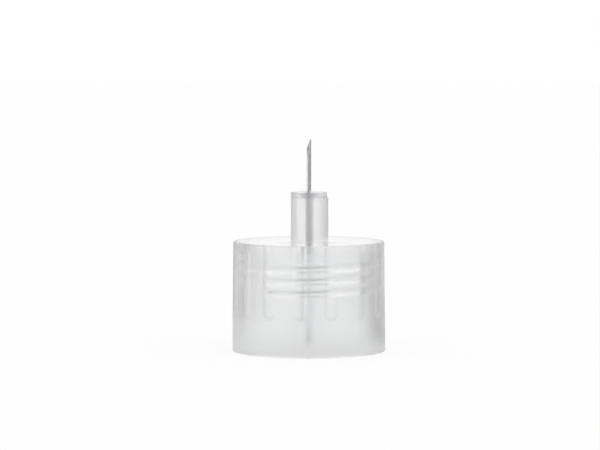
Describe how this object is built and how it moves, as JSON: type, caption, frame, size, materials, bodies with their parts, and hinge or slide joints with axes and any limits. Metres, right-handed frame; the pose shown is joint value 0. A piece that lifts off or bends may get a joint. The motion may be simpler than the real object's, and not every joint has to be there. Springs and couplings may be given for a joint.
{
  "type": "pen needle",
  "caption": "Disposable pen needle: clear fluted hub with an internal thread and a ribbed post, a fine double-ended steel cannula and the adhesive that bonds it.",
  "frame": {"origin": "centre of the hub's open rim, on the plane it stands on", "axes": "+Z along the needle's axis, from the open rim towards the point that enters the skin; +X through one of the post's ribs"},
  "size_m": [0.0116, 0.0116, 0.0159],
  "materials": {
    "clear_plastic": "gloss",
    "steel": "polished",
    "cured_adhesive": "gloss"
  },
  "bodies": {
    "root": {"hub": "clear_plastic", "cannula": "steel", "adhesive": "cured_adhesive"}
  },
  "joints": []
}
